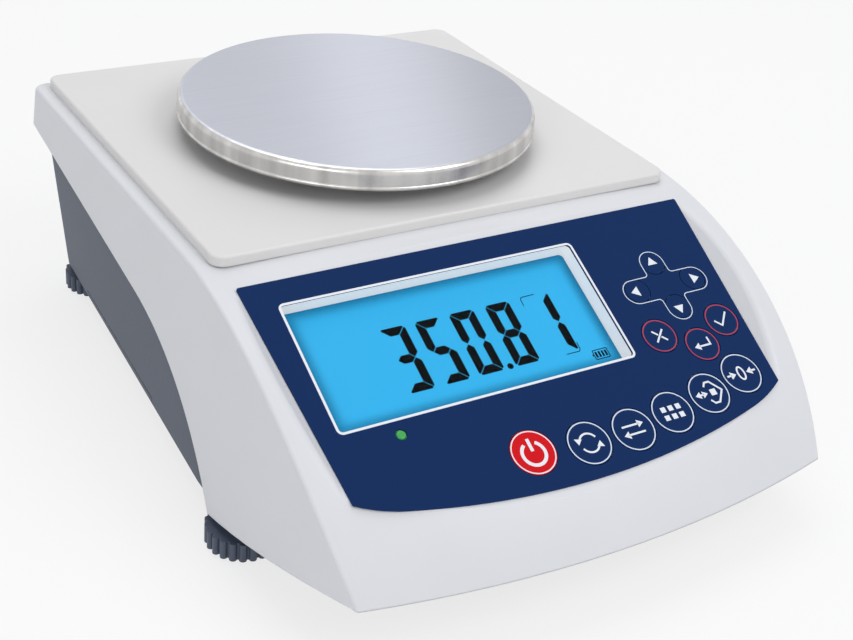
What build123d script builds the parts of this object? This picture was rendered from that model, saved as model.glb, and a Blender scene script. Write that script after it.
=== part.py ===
"""Precision laboratory balance with a round pan, a sloping keypad panel and a sunken display.

Millimetres. X runs across the balance, Y from its front to its rear, Z up from the bench.
The origin is on the bench, under the middle of the housing.
"""
from build123d import *
from math import asin, cos, degrees, radians, sin, tan
import os

os.makedirs("parts", exist_ok=True)

# Housing: the deck outline at the top and the wider outline near the bench
deck_height = 74.7
deck_half_width = 86.0
deck_rear_y = 123.2
deck_straight_end_y = -26.4
deck_side_radius = 924.0
skirt_outline_height = 8.0
skirt_half_width = 92.7
skirt_rear_y = 125.2
skirt_straight_end_y = -41.4
skirt_side_radius = 222.0
outline_front_y = -134.0
rear_corner_radius = 5.0
cover_edge_radius = 1.2
cover_wall = 2.5

# Nose: one arc that leaves the deck level and is turned about a far axis, so that the front bows out
nose_radius = 117.3
nose_start_y = -24.1
nose_sweep = 66.0
bow_centre_y = 239.6

# Parting line between cover and base, seen from the side
cover_rear_depth = 12.7
parting_slope = 8.1
parting_bend_y = 18.6
parting_point_y = -46.4
parting_point_z = 8.6
parting_front_y = -111.4
cover_front_depth = 53.7
parting_overlap = 3.0

# Keypad panel: a flat sunk between the two side rims, a little left of the middle as in the photo
panel_slope = 26.0
panel_top_y = -33.8
panel_drop = 1.4
panel_shift = -1.3
recess_top_half_width = 78.6
recess_bottom_half_width = 74.2
recess_side_length = 71.0
recess_wall_lean = 43.0
recess_edge_radius = 3.0

# Keypad overlay and its window
overlay_top_half_width = 78.0
overlay_bottom_half_width = 73.6
overlay_side_length = 71.2
overlay_bow_depth = 84.0
overlay_bow_half_width = 60.0
overlay_bow_end = 76.85
overlay_thickness = 0.5
overlay_corner_radius = 0.7
window_width = 98.4
window_height = 42.1
window_centre = (-20.2, -29.55)
window_corner = 1.5
well_depth = 6.3
well_wall = 1.5
lens_border = 1.0
lens_thickness = 1.0
lens_gap = 0.2

# Keys: name, place on the panel (across, up from its top edge) and radius of the cap
main_key_radius = 7.0
menu_key_radius = 5.9
arrow_key_radius = 4.2
keys = {
    "power_key": (-18.6, -71.2, main_key_radius),
    "mode_key": (-0.6, -73.2, main_key_radius),
    "unit_key": (15.2, -73.1, main_key_radius),
    "count_key": (30.6, -71.4, main_key_radius),
    "tare_key": (46.1, -68.9, main_key_radius),
    "zero_key": (61.0, -65.6, main_key_radius),
    "escape_key": (41.3, -46.6, menu_key_radius),
    "enter_key": (54.0, -52.9, menu_key_radius),
    "set_key": (65.8, -46.6, menu_key_radius),
    "up_arrow_key": (53.9, -21.6, arrow_key_radius),
    "down_arrow_key": (53.9, -38.4, arrow_key_radius),
    "left_arrow_key": (43.0, -30.0, arrow_key_radius),
    "right_arrow_key": (64.8, -30.0, arrow_key_radius),
}
key_gap = 0.25
key_cap_thickness = 1.4
key_plunger_radius = 2.0
key_plunger_length = 2.0
key_switch_gap = 0.5

# Key board, its switches and the status lamp
key_board_depth = 7.0
board_thickness = 1.6
key_board_left = -60.0
key_board_right = 70.0
key_board_bottom = -80.5
key_board_top = -14.0
key_board_margin = 1.3
switch_side = 6.0
switch_cap_radius = 1.7
switch_cap_height = 0.5
lamp_from_window_left = 16.3
lamp_below_window = 5.0
lamp_radius = 1.5
lamp_gap = 0.15
lamp_proud = 0.2
lamp_length = 3.6
lamp_stand_width = 3.6
lamp_stand_length = 3.6
lamp_stand_shift = -2.6
left_screw_inset = 4.0
left_screw_drop = 7.9
middle_screw_u = 8.0
middle_screw_drop = 4.4
block_screw_inset = 3.5
right_screw_inset = 4.0
top_screw_inset = 3.6
bottom_screw_rise = 24.5
key_board_boss_radius = 2.6

# Display
display_gap = 0.2
display_glass_thickness = 2.2
backlight_thickness = 4.0
display_frame_wall = 2.0
display_frame_back = 1.5
display_frame_lap = 3.0

# Deck plate and weighing pan
plate_half_width = 81.1
plate_front_y = -23.6
plate_rear_y = 121.3
plate_thickness = 3.3
plate_corner_radius = 4.5
plate_edge_radius = 0.8
pan_y = 43.6
pan_radius = 60.0
pan_rise = 12.3
pan_rim_height = 6.9
pan_sheet = 1.0
pan_edge_radius = 1.8
pan_bead = 0.7
column_radius = 12.0
column_hole_radius = 15.0
pan_rest_gap = 0.3
collar_wall = 2.0
collar_height = 2.0

# Pan support, its pads and the arm on the load cell
support_radius = 56.5
support_disc_thickness = 3.0
support_window_inner = 18.0
support_window_outer = 48.0
pad_ring_radius = 52.0
pad_radius = 3.5
pad_height = 2.4
pad_recess = 0.6
pad_count = 4
spoke_width = 10.0
support_screw_ring = 8.0
support_screw_count = 3
support_screw_length = 10.0
screw_hole_spare = 1.5
arm_thickness = 4.0
arm_width = 26.0

# Load cell and its seat
cell_length = 110.0
cell_width = 16.0
cell_height = 26.0
cell_hole_radius = 10.5
cell_hole_spacing = 28.0
cell_slot_height = 4.0
cell_screw_first = 6.0
cell_screw_pitch = 13.0
cell_screw_radius = 2.0
cell_screw_head_radius = 3.5
cell_screw_head_height = 2.0
cell_screw_grip = 9.0
cell_bottom_z = 22.0
cell_shift_y = -1.6
spacer_length = 24.0
spacer_height = 4.0
seat_plate_width = 36.0
seat_plate_length = 44.0
seat_plate_centre_y = 80.0
seat_plate_thickness = 4.0
seat_plate_z = 14.0
seat_screw_inset = 4.5
stop_screw_radius = 2.5
stop_screw_length = 8.0
stop_boss_height = 6.0
stop_place_y = -6.0
stop_gap = 0.4

# Base housing
base_bottom_z = 9.0
base_wall = 2.5
base_gap = 0.3
base_rear_y = 119.6
base_rear_narrowing = 13.3
base_corner_radius = 12.0
base_top_corner_radius = 7.0
base_boss_radius = 5.0

# Levelling feet: places, knob and screw
front_foot_inset = 9.0
front_foot_y = -51.8
rear_foot_inset = 8.6
rear_foot_y = 106.0
foot_knob_radius = 11.2
foot_knob_height = 6.0
foot_rib_count = 22
foot_rib_depth = 1.15
foot_rib_radius = 1.15
foot_pad_radius = 8.0
foot_pad_height = 1.6
foot_pad_gap = 0.2
foot_pad_sunk = 0.8
foot_stud_radius = 3.0
foot_stud_length = 14.0
foot_stud_clearance = 0.3
foot_boss_gap = 0.3
foot_hole_spare = 1.5
foot_boss_roof = 2.0

# Housing screws: one at the rear, two at the sides and two at the front
rear_screw_y = 113.0
side_screw_y = -2.0
front_screw_y = -95.0
side_screw_inset = 16.4
housing_boss_radius = 3.8
housing_screw_radius = 1.5
housing_screw_head_radius = 2.8
housing_screw_head_height = 2.0
housing_screw_length = 10.0
rear_joint_depth = 38.7
front_joint_depth = 44.7
housing_screw_shelf = 3.0

# Main board
main_board_x = (24.0, 62.0)
main_board_y = (10.0, 114.0)
main_board_z = 16.0
main_board_boss_inset = 4.0
board_boss_radius = 2.8
board_screw_radius = 1.2
board_screw_head_radius = 2.3
board_screw_head_height = 1.5
board_screw_length = 5.0
main_chips = ((36.0, 40.0, 14.0, 14.0, 1.6), (52.0, 62.0, 9.0, 12.0, 2.4), (40.0, 84.0, 16.0, 8.0, 3.5))

# Battery pack and its door
cell_count = 5
battery_cell_radius = 7.1
battery_cell_length = 50.0
battery_centre = (-48.8, 48.0)
battery_gap = 1.0
battery_cap_thickness = 2.2
battery_wrap_gap = 0.1
bay_wall = 1.8
door_thickness = 2.2
door_bevel = 1.0
door_gap = 0.3
door_grip_radius = 9.0
door_grip_depth = 0.8
door_grip_inset = 14.0

# Rear sockets
socket_x = 52.0
socket_height = 11.0
socket_width = 9.0
socket_depth = 14.0
socket_inset = 0.6
socket_bore_radius = 3.2
socket_bore_depth = 9.5
socket_pin_radius = 1.0

# Bubble level
level_place = (41.0, 103.5)
level_radius = 7.0
level_depth = 7.0
level_stand_proud = 0.3
level_wall = 1.0
level_gap = 0.15
level_lip = 1.0
level_glass_thickness = 1.2
bubble_radius = 2.0
bubble_depth = 0.8

# Small shared values
reach = 400.0
thread_gap = 0.05
corner_share = 0.5

panel_top_z = deck_height - panel_drop
panel = Plane(
    origin=(0, panel_top_y, panel_top_z),
    x_dir=(1, 0, 0),
    z_dir=(0, -sin(radians(panel_slope)), cos(radians(panel_slope))),
)
recess_plane = Plane(origin=(panel_shift, panel_top_y, panel_top_z), x_dir=panel.x_dir, z_dir=panel.z_dir)
parting_rear_z = deck_height - cover_rear_depth
parting_front_z = deck_height - cover_front_depth
rear_joint_z = deck_height - rear_joint_depth
front_joint_z = deck_height - front_joint_depth
plate_top_z = deck_height + plate_thickness
pan_top_z = plate_top_z + pan_rise
base_floor_z = base_bottom_z + base_wall
base_rear_half_width = skirt_half_width - base_rear_narrowing
front_foot = (skirt_half_width - front_foot_inset, front_foot_y)
rear_foot = (base_rear_half_width - rear_foot_inset, rear_foot_y)
side_screw_x = skirt_half_width - side_screw_inset


def side_plane(x=0.0, lift=0.0):
    """A plane seen from the right side: its own x is Y and its own y is Z."""
    return Plane(origin=(x, 0, lift), x_dir=(0, 1, 0), z_dir=(1, 0, 0))


def plan_outline(half_width, rear_y, straight_end_y, side_radius, front_y, corner):
    """Outline with straight sides that bend in towards the front, for use inside a sketch."""
    turn = degrees(asin((straight_end_y - front_y) / side_radius))
    with BuildLine() as outline:
        right_bend = CenterArc((half_width - side_radius, straight_end_y), side_radius, 0, -turn)
        left_bend = CenterArc((side_radius - half_width, straight_end_y), side_radius, 180, turn)
        Line((half_width, straight_end_y), (half_width, rear_y))
        Line((half_width, rear_y), (-half_width, rear_y))
        Line((-half_width, rear_y), (-half_width, straight_end_y))
        Line(left_bend @ 1, right_bend @ 1)
    face = make_face(outline.edges())
    fillet(face.vertices().group_by(Axis.Y)[-1], radius=corner)


def nose_profile(inset):
    """Half section of the turned body: flat deck, then the nose arc, for use inside a sketch."""
    start = bow_centre_y - nose_start_y
    radius = nose_radius - inset
    centre_z = deck_height - nose_radius
    end = (start + radius * sin(radians(nose_sweep)), centre_z + radius * cos(radians(nose_sweep)))
    with BuildLine() as outline:
        Line((0, -nose_radius), (0, deck_height - inset))
        Line((0, deck_height - inset), (start, deck_height - inset))
        CenterArc((start, centre_z), radius, 90, -nose_sweep)
        Line(end, (end[0], -nose_radius))
        Line((end[0], -nose_radius), (0, -nose_radius))
    make_face(outline.edges())


def housing_form(inset):
    """The closed outer form of the housing, or with an inset the space inside its walls."""
    axis = Axis((0, bow_centre_y, 0), (0, 0, 1))
    profile_plane = Plane(origin=(0, bow_centre_y, 0), x_dir=(0, 1, 0), z_dir=(1, 0, 0))
    with BuildPart() as form:
        with BuildSketch(Plane.XY.offset(skirt_outline_height - 2 * inset)):
            plan_outline(
                skirt_half_width - inset, skirt_rear_y - inset, skirt_straight_end_y,
                skirt_side_radius - inset, outline_front_y, rear_corner_radius - inset * corner_share,
            )
        with BuildSketch(Plane.XY.offset(deck_height - inset)):
            plan_outline(
                deck_half_width - inset, deck_rear_y - inset, deck_straight_end_y,
                deck_side_radius - inset, outline_front_y, rear_corner_radius - inset * corner_share,
            )
        loft(ruled=True)
        with BuildSketch(profile_plane):
            nose_profile(inset)
        revolve(axis=axis, revolution_arc=360, mode=Mode.INTERSECT)
    return form.part


def parting_profile():
    """Region under the parting line, for use inside a sketch on a side plane."""
    slope = tan(radians(parting_slope))
    rear = skirt_rear_y + base_wall
    bend_z = parting_rear_z - slope * (deck_rear_y - parting_bend_y)
    front = outline_front_y
    with BuildLine() as outline:
        straight = Line((rear, bend_z + slope * (rear - parting_bend_y)), (parting_bend_y, bend_z))
        TangentArc(straight @ 1, (parting_point_y, parting_point_z), tangent=straight % 1)
        Line((parting_point_y, parting_point_z), (parting_front_y, parting_front_z))
        Line((parting_front_y, parting_front_z), (front, parting_front_z))
        Line((front, parting_front_z), (front, -deck_height))
        Line((front, -deck_height), (rear, -deck_height))
        Line((rear, -deck_height), straight @ 0)
    make_face(outline.edges())


def above_panel(drop):
    """Everything above the panel's plane, lowered by a drop, as a block to cut with."""
    with BuildPart() as block:
        with BuildSketch(panel.offset(-drop)):
            Rectangle(2 * reach, 2 * reach)
        extrude(amount=deck_height)
    return block.part


def write_out(piece, node):
    """Label a finished piece and write its file."""
    piece.part.label = node
    export_step(piece.part, f"parts/{node}.step")


def between(skirt_value, deck_value, height):
    """A value of the housing's outline at a height between the skirt outline and the deck."""
    share = (height - skirt_outline_height) / (deck_height - skirt_outline_height)
    return skirt_value + (deck_value - skirt_value) * share


def base_form(inset):
    """The closed outer form of the base, or with an inset the space inside its walls."""
    fit = cover_wall + base_gap + inset
    top_z = parting_rear_z + parting_overlap
    rise = (parting_front_z - parting_point_z) / (parting_point_y - parting_front_y)
    floor_z = base_bottom_z + inset
    cover_inside = housing_form(fit)
    with BuildPart() as form:
        with BuildSketch(Plane.XY.offset(floor_z)):
            base_bottom_outline(fit, inset)
        with BuildSketch(Plane.XY.offset(top_z + inset)):
            plan_outline(
                between(skirt_half_width, deck_half_width, top_z) - fit,
                between(skirt_rear_y, deck_rear_y, top_z) - fit,
                between(skirt_straight_end_y, deck_straight_end_y, top_z),
                skirt_side_radius * 2, outline_front_y, base_top_corner_radius - inset,
            )
        loft(ruled=True)
        with BuildSketch(side_plane()):
            Polygon(
                (parting_point_y, floor_z), (outline_front_y, floor_z + rise * (parting_point_y - outline_front_y)),
                (outline_front_y, -deck_height), (parting_point_y, -deck_height), align=None,
            )
        extrude(amount=reach, both=True, mode=Mode.SUBTRACT)
        add(cover_inside, mode=Mode.INTERSECT)
    return form.part


def base_bottom_outline(fit, inset):
    """Outline of the base near the bench: narrow at the rear, wide at the front feet."""
    wide = skirt_half_width - fit
    narrow = base_rear_half_width - inset
    rear = base_rear_y - inset
    radius = skirt_side_radius - fit
    turn = degrees(asin((skirt_straight_end_y - outline_front_y) / radius))
    with BuildLine() as outline:
        right_bend = CenterArc((wide - radius, skirt_straight_end_y), radius, 0, -turn)
        left_bend = CenterArc((radius - wide, skirt_straight_end_y), radius, 180, turn)
        Line((wide, skirt_straight_end_y), (narrow, rear))
        Line((narrow, rear), (-narrow, rear))
        Line((-narrow, rear), (-wide, skirt_straight_end_y))
        Line(left_bend @ 1, right_bend @ 1)
    face = make_face(outline.edges())
    fillet(face.vertices().group_by(Axis.Y)[-1], radius=base_corner_radius - inset)


def posts(places, radius, low, high):
    """Round posts at a list of places between two heights, as a part of its own."""
    with BuildPart() as group:
        with BuildSketch(Plane.XY.offset(low)):
            with Locations(*places):
                Circle(radius)
        extrude(amount=high - low)
    return group.part


def panel_posts(places, radius, low, high):
    """Round posts that stand square to the keypad panel, measured out from its plane."""
    with BuildPart() as group:
        with BuildSketch(panel.offset(low)):
            with Locations(*places):
                Circle(radius)
        extrude(amount=high - low)
    return group.part


def both_sides(place):
    """A place and its mirror image across the middle of the balance."""
    return [place, (-place[0], place[1])]


outer_form = housing_form(0)
base_outer_form = base_form(0)
foot_places = both_sides(front_foot) + both_sides(rear_foot)
key_spots = [((u, v), radius) for u, v, radius in keys.values()]
housing_screws_at = [((0, rear_screw_y), rear_joint_z)]
housing_screws_at += [(place, rear_joint_z) for place in both_sides((side_screw_x, side_screw_y))]
housing_screws_at += [(place, front_joint_z) for place in both_sides((side_screw_x, front_screw_y))]
window_left = window_centre[0] - window_width / 2
window_bottom = window_centre[1] - window_height / 2
lamp_place = (window_left + lamp_from_window_left, window_bottom - lamp_below_window)
glass_border = lens_border + well_wall
tray_border = glass_border + display_gap
board_clearance = tray_border + display_frame_wall + key_board_margin
block_left = window_left + window_width + board_clearance
strip_top = window_bottom - board_clearance
key_board_screws_at = (
    (key_board_left + left_screw_inset, strip_top - left_screw_drop),
    (middle_screw_u, strip_top - middle_screw_drop),
    (block_left + block_screw_inset, key_board_top - top_screw_inset),
    (key_board_right - right_screw_inset, key_board_top - top_screw_inset),
    (key_board_right - right_screw_inset, key_board_bottom + bottom_screw_rise),
)


# Top cover: light moulded shell with side rims, sunken panel, display well and screw bosses
well_width = window_width + 2 * lens_border
well_height = window_height + 2 * lens_border
recess_narrowing = (recess_top_half_width - recess_bottom_half_width) / recess_side_length
recess_upper = recess_side_length / 2
recess_lower = -2 * recess_side_length
cover_boss_group = [
    posts([place], housing_boss_radius, low, deck_height) for place, low in housing_screws_at
]
cover_screw_holes = [
    posts([place], housing_screw_radius + thread_gap, low, low + housing_screw_length)
    for place, low in housing_screws_at
]
key_board_bosses = panel_posts(
    key_board_screws_at, key_board_boss_radius, -key_board_depth, -cover_wall / 2
)
key_board_boss_holes = panel_posts(
    key_board_screws_at, board_screw_radius + thread_gap, -key_board_depth, -cover_wall
)

with BuildPart() as cover_cavity:
    add(housing_form(cover_wall))
    add(above_panel(cover_wall), mode=Mode.SUBTRACT)

with BuildPart() as cover_bosses:
    add(cover_boss_group)
    add(outer_form, mode=Mode.INTERSECT)
    add(above_panel(0), mode=Mode.SUBTRACT)

with BuildPart() as top_cover:
    add(outer_form)
    upper_edges = top_cover.edges().filter_by(lambda edge: edge.bounding_box().max.Z > panel_top_z)
    fillet(upper_edges, radius=cover_edge_radius)
    add(cover_cavity.part, mode=Mode.SUBTRACT)
    with BuildSketch(side_plane()):
        parting_profile()
    extrude(amount=reach, both=True, mode=Mode.SUBTRACT)
    with BuildSketch(recess_plane):
        Polygon(
            (-recess_top_half_width - recess_narrowing * recess_upper, recess_upper),
            (recess_top_half_width + recess_narrowing * recess_upper, recess_upper),
            (recess_top_half_width + recess_narrowing * recess_lower, recess_lower),
            (-recess_top_half_width - recess_narrowing * recess_lower, recess_lower),
            align=None,
        )
    extrude(amount=deck_height / 2, taper=-recess_wall_lean, mode=Mode.SUBTRACT)
    recess_edges = top_cover.edges(Select.LAST).filter_by(GeomType.BSPLINE)
    fillet(recess_edges.sort_by(SortBy.LENGTH)[-4:-2], radius=recess_edge_radius)
    add(cover_bosses.part)
    with BuildSketch(panel.offset(-well_depth)):
        with Locations(window_centre):
            RectangleRounded(well_width + 2 * well_wall, well_height + 2 * well_wall, window_corner + well_wall)
    extrude(amount=well_depth - cover_wall / 2)
    add(key_board_bosses)
    add(key_board_boss_holes, mode=Mode.SUBTRACT)
    with BuildSketch(panel.offset(-well_depth)):
        with Locations(window_centre):
            RectangleRounded(well_width, well_height, window_corner)
    extrude(amount=2 * well_depth, mode=Mode.SUBTRACT)
    with BuildSketch(panel.offset(-2 * cover_wall)):
        for spot, radius in key_spots:
            with Locations(spot):
                Circle(radius + key_gap)
        with Locations(lamp_place):
            Circle(lamp_radius + lamp_gap)
    extrude(amount=4 * cover_wall, mode=Mode.SUBTRACT)
    with BuildSketch(Plane.XY.offset(deck_height - 2 * cover_wall)):
        with Locations((0, pan_y)):
            Circle(column_hole_radius)
        with Locations(level_place):
            Circle(level_radius + level_gap)
    extrude(amount=4 * cover_wall, mode=Mode.SUBTRACT)
    add(cover_screw_holes, mode=Mode.SUBTRACT)
write_out(top_cover, "top_cover")


# Base housing: darker shell with its feet bosses, screw bosses, board posts and battery bay
bay_length = battery_cell_length + 2 * battery_cap_thickness
bay_width = 2 * battery_cell_radius * cell_count + 2 * battery_gap
bay_floor_z = base_bottom_z + door_thickness
bay_roof_z = bay_floor_z + door_gap + 2 * battery_cell_radius
board_posts = [
    (x, y)
    for x in (main_board_x[0] + main_board_boss_inset, main_board_x[1] - main_board_boss_inset)
    for y in (main_board_y[0] + main_board_boss_inset, main_board_y[1] - 4 * main_board_boss_inset)
]
seat_posts = [
    (x, seat_plate_centre_y + y)
    for x in (seat_screw_inset - seat_plate_width / 2, seat_plate_width / 2 - seat_screw_inset)
    for y in (seat_screw_inset - seat_plate_length / 2, seat_plate_length / 2 - seat_screw_inset)
]
foot_knob_z = foot_pad_height - foot_pad_sunk
foot_stud_top_z = foot_knob_z + foot_knob_height + foot_stud_length
foot_hole_top_z = foot_stud_top_z + foot_hole_spare
foot_bosses = posts(
    foot_places, base_boss_radius, foot_knob_z + foot_knob_height + foot_boss_gap, base_floor_z
)
foot_holes = posts(foot_places, foot_stud_radius + foot_stud_clearance, 0, foot_hole_top_z)
stop_post_top_z = base_floor_z + stop_boss_height
base_post_group = [
    posts([place], housing_boss_radius, 0, joint_z - base_gap) for place, joint_z in housing_screws_at
]
base_post_group.append(posts(foot_places, base_boss_radius, 0, foot_hole_top_z + foot_boss_roof))
base_post_group.append(posts(board_posts, board_boss_radius, 0, main_board_z))
base_post_group.append(posts(seat_posts, board_boss_radius, 0, seat_plate_z))
base_post_group.append(posts([(0, stop_place_y)], base_boss_radius, 0, stop_post_top_z))
base_hole_group = [
    posts([place], housing_screw_head_radius + thread_gap, 0, joint_z - base_gap - housing_screw_shelf)
    for place, joint_z in housing_screws_at
]
base_hole_group += [
    posts([place], housing_screw_radius + thread_gap, 0, joint_z) for place, joint_z in housing_screws_at
]
blind_z = base_floor_z - base_wall / 2
base_hole_group.append(posts(board_posts, board_screw_radius + thread_gap, blind_z, main_board_z))
base_hole_group.append(posts(seat_posts, board_screw_radius + thread_gap, blind_z, seat_plate_z))
base_hole_group.append(posts([(0, stop_place_y)], stop_screw_radius + thread_gap, blind_z, stop_post_top_z))


def door_section(gap):
    """Dovetail section of the battery door across the balance, for use inside a sketch on a side plane."""
    half = bay_width / 2 - gap
    y = battery_centre[1]
    Polygon(
        (y - half + door_bevel, base_bottom_z - gap), (y + half - door_bevel, base_bottom_z - gap),
        (y + half, bay_floor_z - gap), (y - half, bay_floor_z - gap), align=None,
    )


with BuildPart() as base_posts:
    add(base_post_group)
    with BuildSketch(Plane.XY.offset(base_bottom_z)):
        with Locations(battery_centre):
            Rectangle(bay_length + 2 * bay_wall, bay_width + 2 * bay_wall)
    extrude(amount=bay_roof_z + bay_wall - base_bottom_z)
    add(base_outer_form, mode=Mode.INTERSECT)

with BuildPart() as base_housing:
    add(base_outer_form)
    add(base_form(base_wall), mode=Mode.SUBTRACT)
    with BuildSketch(side_plane(lift=parting_overlap)):
        parting_profile()
    extrude(amount=reach, both=True, mode=Mode.INTERSECT)
    add(base_posts.part)
    add(foot_bosses)
    with BuildSketch(Plane.XY.offset(bay_floor_z)):
        with Locations(battery_centre):
            Rectangle(bay_length, bay_width)
    extrude(amount=bay_roof_z - bay_floor_z, mode=Mode.SUBTRACT)
    with BuildSketch(side_plane(x=battery_centre[0] + bay_length / 2)):
        door_section(0)
    extrude(amount=-reach, mode=Mode.SUBTRACT)
    add(foot_holes, mode=Mode.SUBTRACT)
    add(base_hole_group, mode=Mode.SUBTRACT)
    with BuildSketch(Plane.XZ.offset(-base_rear_y)):
        with Locations((socket_x, main_board_z + board_thickness + socket_height / 2)):
            Rectangle(socket_width + 2 * base_gap, socket_height + 2 * base_gap)
    extrude(amount=3 * base_wall, both=True, mode=Mode.SUBTRACT)
write_out(base_housing, "base_housing")


# Deck plate: flat platform on the deck, with a collar round the column hole
with BuildPart() as deck_plate:
    with BuildSketch(Plane.XY.offset(deck_height)):
        with Locations((0, (plate_front_y + plate_rear_y) / 2)):
            RectangleRounded(2 * plate_half_width, plate_rear_y - plate_front_y, plate_corner_radius)
    extrude(amount=plate_thickness)
    fillet(deck_plate.edges().group_by(Axis.Z)[-1], radius=plate_edge_radius)
    with BuildSketch(Plane.XY.offset(deck_height)):
        with Locations((0, pan_y)):
            Circle(column_hole_radius + collar_wall)
    extrude(amount=plate_thickness + collar_height)
    with BuildSketch(Plane.XY.offset(deck_height)):
        with Locations((0, pan_y)):
            Circle(column_hole_radius)
        with Locations(level_place):
            Circle(level_radius + level_gap)
    extrude(amount=plate_thickness + collar_height, mode=Mode.SUBTRACT)
write_out(deck_plate, "deck_plate")


# Weighing pan: one pressed sheet with a turned-down rim and a rolled bead
rim_radius = pan_radius - 2 * pan_bead + pan_sheet
rim_bottom_z = pan_top_z - pan_rim_height
with BuildPart() as pan_inside:
    with BuildSketch(Plane.XY.offset(rim_bottom_z)):
        with Locations((0, pan_y)):
            Circle(rim_radius - pan_sheet)
    extrude(amount=pan_rim_height - pan_sheet)
    fillet(pan_inside.edges().group_by(Axis.Z)[-1], radius=pan_edge_radius - pan_sheet)

with BuildPart() as weighing_pan:
    with BuildSketch(Plane.XY.offset(rim_bottom_z)):
        with Locations((0, pan_y)):
            Circle(rim_radius)
    extrude(amount=pan_rim_height)
    fillet(weighing_pan.edges().group_by(Axis.Z)[-1], radius=pan_edge_radius)
    add(pan_inside.part, mode=Mode.SUBTRACT)
    with BuildSketch(side_plane()):
        with Locations((pan_y + rim_radius - pan_sheet + pan_bead, rim_bottom_z + pan_bead)):
            Circle(pan_bead)
    revolve(axis=Axis((0, pan_y, 0), (0, 0, 1)), revolution_arc=360)
write_out(weighing_pan, "weighing_pan")


# Pan support: disc with four windows on a column, and its four rubber pads
cell_top_z = cell_bottom_z + cell_height
arm_bottom_z = cell_top_z + spacer_height
arm_top_z = arm_bottom_z + arm_thickness
support_top_z = pan_top_z - pan_sheet - pan_rest_gap - pad_height + pad_recess
support_pad_z = support_top_z - pad_recess
with BuildPart() as pan_support:
    with BuildSketch(Plane.XY.offset(arm_top_z)):
        with Locations((0, pan_y)):
            Circle(column_radius)
    extrude(amount=support_top_z - arm_top_z)
    with BuildSketch(Plane.XY.offset(support_top_z - support_disc_thickness)):
        with Locations((0, pan_y)):
            Circle(support_radius)
            with BuildSketch(mode=Mode.SUBTRACT):
                Circle(support_window_outer)
                Circle(support_window_inner, mode=Mode.SUBTRACT)
                Rectangle(2 * support_radius, spoke_width, mode=Mode.SUBTRACT)
                Rectangle(spoke_width, 2 * support_radius, mode=Mode.SUBTRACT)
    extrude(amount=support_disc_thickness)
    with BuildSketch(Plane.XY.offset(support_pad_z)):
        with Locations((0, pan_y)):
            with PolarLocations(pad_ring_radius, pad_count):
                Circle(pad_radius)
    extrude(amount=pad_recess, mode=Mode.SUBTRACT)
    with BuildSketch(Plane.XY.offset(arm_top_z)):
        with Locations((0, pan_y)):
            with PolarLocations(support_screw_ring, support_screw_count):
                Circle(board_screw_radius + thread_gap)
    extrude(amount=support_screw_length + screw_hole_spare, mode=Mode.SUBTRACT)
write_out(pan_support, "pan_support")

with BuildPart() as support_pads:
    with BuildSketch(Plane.XY.offset(support_pad_z)):
        with Locations((0, pan_y)):
            with PolarLocations(pad_ring_radius, pad_count):
                Circle(pad_radius)
    extrude(amount=pad_height)
write_out(support_pads, "support_pads")


# Load arm from the free end of the load cell to the column, and its screws
cell_centre_y = pan_y + cell_shift_y
cell_front_y = cell_centre_y - cell_length / 2
cell_rear_y = cell_centre_y + cell_length / 2
front_screws = [
    (0, cell_front_y + cell_screw_first), (0, cell_front_y + cell_screw_first + cell_screw_pitch)
]
rear_screws = [
    (0, cell_rear_y - cell_screw_first), (0, cell_rear_y - cell_screw_first - cell_screw_pitch)
]
with BuildPart() as load_arm:
    with BuildSketch(Plane.XY.offset(arm_bottom_z)):
        with Locations((0, cell_front_y)):
            Rectangle(arm_width, pan_y - cell_front_y, align=(Align.CENTER, Align.MIN))
        with Locations((0, pan_y)):
            Circle(arm_width / 2)
    extrude(amount=arm_thickness)
    with BuildSketch(Plane.XY.offset(arm_bottom_z)):
        with Locations((0, pan_y)):
            with PolarLocations(support_screw_ring, support_screw_count):
                Circle(board_screw_radius + thread_gap)
        with Locations(*front_screws):
            Circle(cell_screw_radius + thread_gap)
    extrude(amount=arm_thickness, mode=Mode.SUBTRACT)
write_out(load_arm, "load_arm")

with BuildPart() as support_screws:
    with BuildSketch(Plane.XY.offset(arm_bottom_z)):
        with Locations((0, pan_y)):
            with PolarLocations(support_screw_ring, support_screw_count):
                Circle(board_screw_head_radius)
    extrude(amount=-board_screw_head_height)
    with BuildSketch(Plane.XY.offset(arm_bottom_z)):
        with Locations((0, pan_y)):
            with PolarLocations(support_screw_ring, support_screw_count):
                Circle(board_screw_radius)
    extrude(amount=arm_thickness + support_screw_length)
write_out(support_screws, "support_screws")


# Load cell: an aluminium bar with a double hole that makes it bend, held at its rear end
with BuildPart() as load_cell:
    with BuildSketch(side_plane()):
        with Locations((cell_centre_y, cell_bottom_z + cell_height / 2)):
            Rectangle(cell_length, cell_height)
            with Locations((-cell_hole_spacing / 2, 0), (cell_hole_spacing / 2, 0)):
                Circle(cell_hole_radius, mode=Mode.SUBTRACT)
            Rectangle(cell_hole_spacing, cell_slot_height, mode=Mode.SUBTRACT)
    extrude(amount=cell_width / 2, both=True)
    with BuildSketch(Plane.XY.offset(cell_top_z)):
        with Locations(*front_screws):
            Circle(cell_screw_radius + thread_gap)
    extrude(amount=-cell_screw_grip - screw_hole_spare, mode=Mode.SUBTRACT)
    with BuildSketch(Plane.XY.offset(cell_bottom_z)):
        with Locations(*rear_screws):
            Circle(cell_screw_radius + thread_gap)
    extrude(amount=cell_screw_grip + screw_hole_spare, mode=Mode.SUBTRACT)
write_out(load_cell, "load_cell")

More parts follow.
